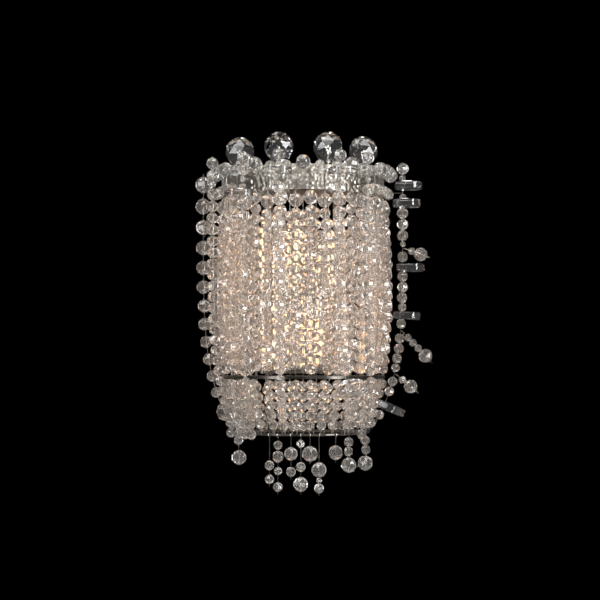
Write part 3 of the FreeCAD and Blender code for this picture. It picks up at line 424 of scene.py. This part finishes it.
def curtainLine(angle, inset):
    top, foot = bandLow.z, ringHigh.z

    def place(z):
        bulge = curtainLook["bulge"] * math.sin(math.pi * (top - z) / (top - foot)) - inset
        return ovalPoint(halfWidth + bulge, ovalDepth + bulge, angle, z)
    return place


def coverLine(angle):
    rib = curtainLine(angle, 0)
    return lambda z: rib(z) + Vector((0, -curtainLook["coverOut"], 0))


def basketLine(angle, inset, overhang=0.0):
    top = ringLow.z

    def place(z):
        share = (top - z) / (top - footLevel)
        out = overhang * min(share, 1) - inset
        return ovalPoint((halfWidth + out) * (1 - share) + (footHalfWidth + out) * share,
                         (ovalDepth + out) * (1 - share) + (footDepth + out) * share, angle, z)
    return place


def hangsOver(angle):
    first, last = basketLook["ends"]
    nearest = min(abs(angle - foot) for foot in basketLook["strandFeet"])
    besideTassels = abs(angle - 90) > basketLook["tasselSpan"]
    return besideTassels and first < angle < last and nearest > basketLook["feetClear"]


def outerRow(panel, basket, index, angle):
    look, low = curtainLook, basketLook
    top = bandLow.z - look["bead"] * (look["oddLead"] if index % 2 else look["evenLead"])
    beads = [(top - look["topBead"] / 2, look["topBead"])]
    beads += beadRun(top - look["topBead"], ringHigh.z, look["bead"], look["bead"])
    strand(panel, curtainLine(angle, 0), bandLow.z, beads, ringHigh.z, look["wobble"])
    over = hangsOver(angle)
    foot = footLevel - low["overReach"] if over else footLevel + low["foot"]
    beads = beadRun(ringLow.z - low["drop"], foot, low["bead"], low["bead"])
    end = beads[-1][0] - beads[-1][1] / 2 if over else footLevel
    line = basketLine(angle, 0, low["overhang"] if over else 0)
    strand(basket, line, ringLow.z, beads, end, low["wobble"])


def coverRow(panel, basket, angle):
    look, low = curtainLook, basketLook
    beads = beadRun(bandLow.z - look["coverDrop"], ringHigh.z, look["bead"], look["bead"])
    strand(panel, coverLine(angle), bandLow.z, beads, ringHigh.z, look["coverWobble"])
    beads = beadRun(ringLow.z, footLevel + low["foot"], low["bead"], low["bead"])
    strand(basket, basketLine(angle, -low["coverOut"]), ringLow.z, beads, footLevel, low["wobble"])


def innerRow(panel, basket, angle):
    look, low = curtainLook, basketLook
    bead = look["bead"]
    beads = beadRun(bandLow.z - look["innerDrop"], ringHigh.z, bead, bead, seeded.uniform(0, bead))
    line = curtainLine(angle, look["inset"])
    strand(panel, line, bandLow.z, beads, ringHigh.z, look["innerWobble"])
    beads = beadRun(ringLow.z - low["drop"], footLevel + low["innerFoot"], low["innerTop"],
                    low["innerEnd"], seeded.uniform(0, low["innerLead"]))
    strand(basket, basketLine(angle, low["inset"]), ringLow.z, beads, footLevel, low["innerWobble"])


def curtain():
    panels = [Pile() for _ in range(4)]
    baskets = [Pile() for _ in range(2)]
    for index, angle in enumerate(angles):
        panel = panels[min(int(angle / panelSpan), 3)]
        basket = baskets[int(angle > 90)]
        if index not in ribSlots:
            outerRow(panel, basket, index, angle)
        if index in frontRibs:
            coverRow(panel, basket, angle)
        if index < lastSlot:
            innerRow(panel, basket, (angle + angles[index + 1]) / 2)
    panelNodes = ("curtain_right", "curtain_front_right", "curtain_front_left", "curtain_left")
    for node, pile in zip(panelNodes + ("basket_right", "basket_left"), panels + baskets):
        pile.build(node + "_beads", [node], [crystal, wireSteel])


# pairs of thin wires carry the curtain strands over the band's outer face
pairLook = dict(radius=0.00028, spread=0.45, out=0.0016, rise=0.002, end=0.005, endOut=0.0004)


def bandWires():
    pile = Pile()
    out, endOut = pairLook["out"], pairLook["endOut"]
    levels = ((bandHigh.z, out), (bandLow.z + pairLook["rise"], out),
              (bandLow.z - pairLook["end"], endOut))
    for angle in angles[1:-1]:
        for side in (-pairLook["spread"], pairLook["spread"]):
            pile.wire([ovalPoint(halfWidth + off, ovalDepth + off, angle + side, level)
                       for level, off in levels], pairLook["radius"], 0)
    pile.build("band_wire_pairs", [], [wireSteel], slot="chrome")


curtain()
bandWires()
print("curtain strung")


# loose strands stand off the curtain and lean in to the foot rod. They leave room for the rod,
# for the tie that holds them at the rim, and for discs and sprays.
outerLook = dict(standOff=0.024, top=0.134, leanPower=5, footOff=0.00235, first=0.0138,
                 last=0.0105, footClear=0.014, rodClear=0.0033, tailBead=0.0172, rise=0.027,
                 topDrop=0.001, tie=(0.1243, 0.1257), sprayBelow=0.0042, sprayAbove=0.0011,
                 wobble=0.0004)
# angles are at the rim and at the foot, tail is the length below the foot rod, and each disc
# is (height in mm, size, turn in degrees)
outerStrands = {
    "outer_strand_right": dict(angles=(11, 14), tail=0, discs=[
        (134, "small", 50), (112, "small", -50), (38, "small", 0), (-17, "small", 60),
        (-121, "small", 0)]),
    "outer_strand_ball_4": dict(angles=(53, 26), tail=0.043, discs=[]),
    "outer_strand_ball_3": dict(angles=(70, 50), tail=0.043, discs=[
        (134, "small", 0), (-98, "small", 20)]),
    "outer_strand_ball_2": dict(angles=(103, 105), tail=0, discs=[(134, "small", 0)]),
    "outer_strand_ball_1": dict(angles=(124, 133), tail=0, discs=[(112, "small", 0)]),
    "outer_strand_left": dict(angles=(150, 158), tail=0.037, discs=[(-128, "large", 180)]),
}
# glass discs with a ground edge; beadEnd is the radius of the flat bead end that meets one
discLook = dict(small=0.032, large=0.044, offset=0.009, thick=0.008, edge=0.0006, sides=56,
                tangent=0.001, beadEnd=0.0036)
# rigid wires with a larger bead at the tip; off is where the wire leaves the strand's wire
sprayLook = dict(off=0.0014, bareWire=0.0069, bead=0.0085, tip=0.016, tipSpin=0.3, wireEnd=0.004)
sprays = {
    "wire_spray_upper": dict(height=0.061, along=(0.8, -0.5, -0.35), beads=1),
    "wire_spray_middle": dict(height=-0.034, along=(0.66, -0.2, -0.72), beads=3),
    "wire_spray_lower": dict(height=-0.084, along=(0.72, -0.3, -0.62), beads=1),
}


def outerPoint(pair, z):  # pair holds the angles at the rim and at the foot
    share = (outerLook["top"] - z) / (outerLook["top"] - footLevel)
    lean = min(max(share, 0), 1) ** outerLook["leanPower"]
    off, footOff = outerLook["standOff"], outerLook["footOff"]
    a = (halfWidth + off) * (1 - lean) + (footHalfWidth + footOff) * lean
    b = (ovalDepth + off) * (1 - lean) + (footDepth + footOff) * lean
    return ovalPoint(a, b, pair[0] * (1 - lean) + pair[1] * lean, z)


def outerAlong(pair, z):
    span = discLook["tangent"]
    return (outerPoint(pair, z + span) - outerPoint(pair, z - span)).normalized()


def discMesh(pile, pair, height, size, turn):
    radius, sides = discLook[size] / 2, discLook["sides"]
    edge, half = discLook["edge"], discLook["thick"] / 2
    middle, along = outerPoint(pair, height), outerAlong(pair, height)
    out = Vector((middle.x, middle.y - backY, 0))
    out = (out - along * out.dot(along)).normalized()
    out.rotate(Quaternion(along, math.radians(turn)))
    centre = middle + out * discLook["offset"]
    side = along.cross(out)
    points = []
    for rise, r in ((-half, radius - edge), (-half + edge, radius),
                    (half - edge, radius), (half, radius - edge)):
        for a in np.linspace(0, 2 * math.pi, sides, endpoint=False):
            around = out * math.cos(a) + side * math.sin(a)
            points.append(tuple(centre + along * rise + around * r))
    faces = []
    for r in range(3):
        low, high = r * sides, (r + 1) * sides
        for i in range(sides):
            j = (i + 1) % sides
            faces.append((low + i, low + j, high + j, high + i))
    faces.append(tuple(reversed(range(sides))))
    faces.append(tuple(range(3 * sides, 4 * sides)))
    pile.add(np.array(points), faces, 0)


def discHalfHeight(pair, height):
    along = outerAlong(pair, height)
    slant = math.sqrt(max(1 - along.z ** 2, 0)) / abs(along.z)
    return discLook["thick"] / 2 / abs(along.z) + discLook["beadEnd"] * slant


def outer():
    discs, look = Pile(), outerLook
    for node, strandSet in outerStrands.items():
        pile, pair, tail = Pile(), strandSet["angles"], strandSet["tail"]
        top = look["top"] + look["rise"]
        gaps = [(footLevel - look["rodClear"], footLevel + look["footClear"]), look["tie"]]
        for height, size, turn in strandSet["discs"]:
            half = discHalfHeight(pair, height / 1000)
            gaps.append((height / 1000 - half, height / 1000 + half))
            discMesh(discs, pair, height / 1000, size, turn)
        if node == "outer_strand_right":
            gaps += [(s["height"] - look["sprayBelow"], s["height"] + look["sprayAbove"])
                     for s in sprays.values()]
        gaps.sort(reverse=True)
        end = footLevel - tail if tail else footLevel + look["rodClear"]
        large = look["tailBead"] if tail else 0
        beads = beadRun(top - look["topDrop"], end + large, look["first"], look["last"], 0, gaps)
        if tail:
            beads.append((end + large / 2, large))
        strand(pile, lambda z: outerPoint(pair, z), top, beads, end, look["wobble"])
        pile.build(node + "_beads", [node], [crystal, wireSteel])
    discs.build("crystal_discs_cut", ["crystal_discs"], [clear])


# large beads, each joined to the next by a bare link of wire
swagLook = dict(angles=(168, 171), first=0.0195, last=0.0115, link=0.006, rise=0.00975,
                foot=0.014, wireRise=0.003, wireFoot=0.0003, wobble=0.0005)


def swag():
    look = swagLook
    top, bottom = outerLook["top"] + look["rise"], footLevel + look["foot"]
    level, beads = top, []
    while True:
        share = (top - level) / (top - bottom)
        diameter = look["first"] + (look["last"] - look["first"]) * share
        if level - diameter < bottom:
            break
        beads.append((level - diameter / 2, diameter))
        level -= diameter + look["link"]
    pile = Pile()
    strand(pile, lambda z: outerPoint(look["angles"], z), top + look["wireRise"], beads,
           footLevel + look["wireFoot"], look["wobble"])
    pile.build("swag_strand_beads", ["swag_strand"], [crystal, wireSteel])


def spray():
    pair, look = outerStrands["outer_strand_right"]["angles"], sprayLook
    for node, place in sprays.items():
        along = Vector(place["along"]).normalized()
        start = outerPoint(pair, place["height"]) + along * look["off"]
        pile = Pile()
        run = look["bareWire"]
        for step in range(place["beads"]):
            pile.bead(start + along * (run + look["bead"] / 2), look["bead"], along, step)
            run += look["bead"]
        pile.bead(start + along * (run + look["tip"] / 2), look["tip"], along, look["tipSpin"])
        pile.wire([start, start + along * (run + look["tip"] + look["wireEnd"])])
        pile.build(node + "_beads", [node], [crystal, wireSteel])


outer()
swag()
spray()
print("outer strands strung")


# drop is from the top of a ball's box to its centre; a ball stands a little askew on its pin
ballLook = dict(diameter=0.0338, drop=0.017, stand=(0.05, 0.03, 1), pinRadius=0.0006)
ballAngles = {"top_ball_1": 139, "top_ball_2": 106.5, "top_ball_3": 73, "top_ball_4": 44}
# garland beads lie just off the band and are smaller beside a ball
garlandLook = dict(slots=21, bead=0.0168, small=0.0125, smallDrop=0.003, off=0.0003, room=0.0085,
                   ballRise=0.02, ballNear=0.0255, tilt=0.2)
# at both sides a second row of small beads lies over the band
sideRowLook = dict(slots=31, bead=0.0118, rise=0.0062, off=0.0063, frontSpan=46)


def balls():
    for node, angle in ballAngles.items():
        low, high = boxOf(node)
        centre = (low + high) / 2
        centre.z = high.z - ballLook["drop"]
        pile = Pile()
        pile.bead(centre, ballLook["diameter"], ballLook["stand"], angle, bigBall)
        pile.wire([(centre.x, centre.y, low.z), centre], ballLook["pinRadius"])
        pile.build(node + "_cut", [node], [clear, wireSteel])


def garlandTilt():
    return nearly(garlandLook["tilt"]), nearly(garlandLook["tilt"]), 1


def garland():
    low, high = boxOf("rim_garland")
    pile, look = Pile(), garlandLook
    level, bead = (low.z + high.z) / 2, look["bead"]
    offset = bandThick / 2 + look["off"] + look["room"]
    ballPlaces = [ovalPoint(halfWidth, ovalDepth, angle, bandHigh.z + look["ballRise"])
                  for angle in ballAngles.values()]
    for angle in evenAngles(look["slots"])[1:-1]:
        away = ovalOutward(angle)
        centre = ovalPoint(halfWidth, ovalDepth, angle, level) + away * offset
        small = min((place - centre).length for place in ballPlaces) < look["ballNear"]
        diameter = look["small"] if small else bead
        drop = Vector((0, 0, look["smallDrop"] if small else 0))
        pile.bead(centre - away * (bead - diameter) / 2 - drop, diameter, garlandTilt(), angle)
    look = sideRowLook
    offset = bandThick / 2 + look["off"]
    for angle in evenAngles(look["slots"])[1:-1]:
        if abs(angle - 90) > look["frontSpan"]:
            centre = ovalPoint(halfWidth, ovalDepth, angle, bandLow.z + look["rise"])
            centre += ovalOutward(angle) * offset
            pile.bead(centre, look["bead"], garlandTilt(), angle)
    pile.build("rim_garland_beads", ["rim_garland"], [crystal])


# angle on the foot rod, then each bead's depth below the rod and its diameter, in mm
tasselBeads = {
    "tassel_1": (118.9, [(34, 11), (49.5, 10.6)]),
    "tassel_2": (111.2, [(11.5, 10), (24, 13), (40, 9), (57.5, 10.6)]),
    "tassel_3": (100.0, [(20.6, 15), (40.5, 11)]),
    "tassel_4": (91.9, [(9.5, 9), (35, 11), (54, 16.5)]),
    "tassel_5": (84.3, [(20.6, 17.5)]),
    "tassel_6": (76.8, [(38.3, 17), (50, 6), (58.7, 11)]),
    "tassel_7": (62.0, [(20, 16.4)]),
}
# a bent eye holds each tassel on the rod; the tail is the wire below its last bead, in mm
tasselLook = dict(eye=0.00225, eyeWire=0.0003, eyePoints=17, hang=0.00235, tail=3)


def below(point, depth):
    return point - Vector((0, 0, depth))


def tassels():
    look = tasselLook
    for node, (angle, hung) in tasselBeads.items():
        point = ovalPoint(footHalfWidth, footDepth, angle, footLevel)
        turn = math.radians(angle)
        along = Vector((-footHalfWidth * math.sin(turn), -footDepth * math.cos(turn), 0))
        across = up.cross(along.normalized())
        pile = Pile()
        pile.wire([point + (across * math.cos(a) + up * math.sin(a)) * look["eye"]
                   for a in np.linspace(0, 2 * math.pi, look["eyePoints"])], look["eyeWire"])
        depth, diameter = hung[-1]
        end = depth + diameter / 2 + look["tail"]
        pile.wire([below(point, look["hang"]), below(point, end / 1000)])
        for depth, diameter in hung:
            pile.bead(below(point, depth / 1000), diameter / 1000, up, depth)
        pile.build(node + "_beads", [node], [crystal, wireSteel], body=node)


balls()
garland()
tassels()
print("rim, balls and tassels made")


# one lamp points up and one down; rise is from the bulb's base to the filament's middle
lampLook = dict(rise=0.026, power=0.1, colour="#ff9852", radius=0.008,
                glowWide=0.012, glowTall=0.026, glowSides=20)
filamentHalf = 0.004  # half the loop's width in metres; its points are (share of that, height)
filamentLoop = ((-1, -0.022), (-1, 0), (-0.5, 0.012), (0, 0.002), (0.5, 0.012), (1, 0), (1, -0.022))
# the lit coat inside the bulb: rows of a unit bead, stretched to glowWide and glowTall
glowRows = [(-0.95, 0.3, 0), (-0.7, 0.72, 0), (-0.3, 0.95, 0), (0.1, 1.0, 0),
            (0.5, 0.86, 0), (0.8, 0.55, 0), (0.97, 0.2, 0)]


def lamps():
    look = lampLook
    for node, way in (("lamp_bulb_upper", 1), ("lamp_bulb_lower", -1)):
        low, high = boxOf(node)
        middle = (low + high) / 2
        base = low.z if way > 0 else high.z
        centre = Vector((middle.x, middle.y, base + way * look["rise"]))
        loop = Pile()
        loop.wire([centre + Vector((filamentHalf * side, 0, way * height))
                   for side, height in filamentLoop], finish=0)
        loop.build(node + "_filament", [], [filament], slot="bulb_glass")
        points, faces = cutBead(look["glowSides"], glowRows)
        points = points * np.array([look["glowWide"], look["glowWide"], look["glowTall"]])
        glow = Pile()
        glow.add(points + np.array(centre), faces, 0)
        glow.build(node + "_glow", [], [innerCoat], slot="bulb_glass")
        light = bpy.data.lights.new(node + "_light", "POINT")
        light.energy = look["power"]
        light.color = linear(look["colour"])[:3]
        light.shadow_soft_size = look["radius"]
        lamp = bpy.data.objects.new(node + "_light", light)
        lamp.location = centre
        bpy.context.scene.collection.objects.link(lamp)


lamps()
print("lamps lit")


# a painted floor well below: pale and matt, so it sends a soft light up
floorLook = dict(size=3, at=(0, -1.2, -0.62), colour="#d8d6d2", roughness=0.8)
softLights = {
    "leftStrip": dict(at=(-1.0, -0.9, 0.3), size=(0.3, 1.2), power=9),
    "rightStrip": dict(at=(1.05, -0.8, 0.2), size=(0.3, 1.2), power=17),
    "overhead": dict(at=(0.1, -0.6, 1.1), size=(1.0, 0.4), power=9),
    "frontHigh": dict(at=(-0.5, -1.9, 0.9), size=(0.9, 0.6), power=5.8),
    "frontLow": dict(at=(0.45, -1.8, -0.5), size=(0.6, 0.4), power=3.6),
}
lightTarget = (0, -0.08, 0)
roomLook = dict(soft="#ffffff", strength=0.035, seen="#000000")  # the camera sees plain black
cameraLook = dict(at=(-0.0034, -1.7, -0.075), target=(-0.0034, -0.06, 0.0), lens=85.6,
                  sensor=36, nearest=0.05)


def aimAt(holder, target):
    aim = Vector(target) - Vector(holder.location)
    holder.rotation_euler = aim.to_track_quat("-Z", "Y").to_euler()
    bpy.context.scene.collection.objects.link(holder)


def stageSet():
    bpy.ops.mesh.primitive_plane_add(size=floorLook["size"], location=floorLook["at"])
    floor = bpy.context.object
    floor.name = "floor"
    material, tree = newMaterial("palePaintedFloor")
    pale = addNode(tree, "ShaderNodeBsdfPrincipled", Base_Color=linear(floorLook["colour"]),
                   Roughness=floorLook["roughness"])
    addNode(tree, "ShaderNodeOutputMaterial", {"Surface": pale.outputs[0]})
    floor.data.materials.append(material)


def lightSet():
    for name, look in softLights.items():
        light = bpy.data.lights.new(name, "AREA")
        light.shape = "RECTANGLE"
        light.size, light.size_y = look["size"]
        light.energy = look["power"]
        lamp = bpy.data.objects.new(name, light)
        lamp.location = look["at"]
        aimAt(lamp, lightTarget)


def roomSet():
    world = bpy.data.worlds.new("studio")
    bpy.context.scene.world = world
    world.use_nodes = True
    tree = world.node_tree
    tree.nodes.clear()
    path = addNode(tree, "ShaderNodeLightPath")
    soft = addNode(tree, "ShaderNodeBackground", Color=linear(roomLook["soft"]),
                   Strength=roomLook["strength"])
    seen = addNode(tree, "ShaderNodeBackground", Color=linear(roomLook["seen"]), Strength=1.0)
    mix = addNode(tree, "ShaderNodeMixShader",
                  {0: path.outputs["Is Camera Ray"], 1: soft.outputs[0], 2: seen.outputs[0]})
    addNode(tree, "ShaderNodeOutputWorld", {"Surface": mix.outputs[0]})


def cameraSet():
    camera = bpy.data.cameras.new("photo_view")
    camera.lens = cameraLook["lens"]
    camera.sensor_width = cameraLook["sensor"]
    camera.clip_start = cameraLook["nearest"]
    holder = bpy.data.objects.new("photo_view", camera)
    holder.location = cameraLook["at"]
    aimAt(holder, cameraLook["target"])
    bpy.context.scene.camera = holder


stageSet()
lightSet()
roomSet()
cameraSet()
bpy.context.scene.view_settings.view_transform = "Standard"
print("stage, light and camera set")
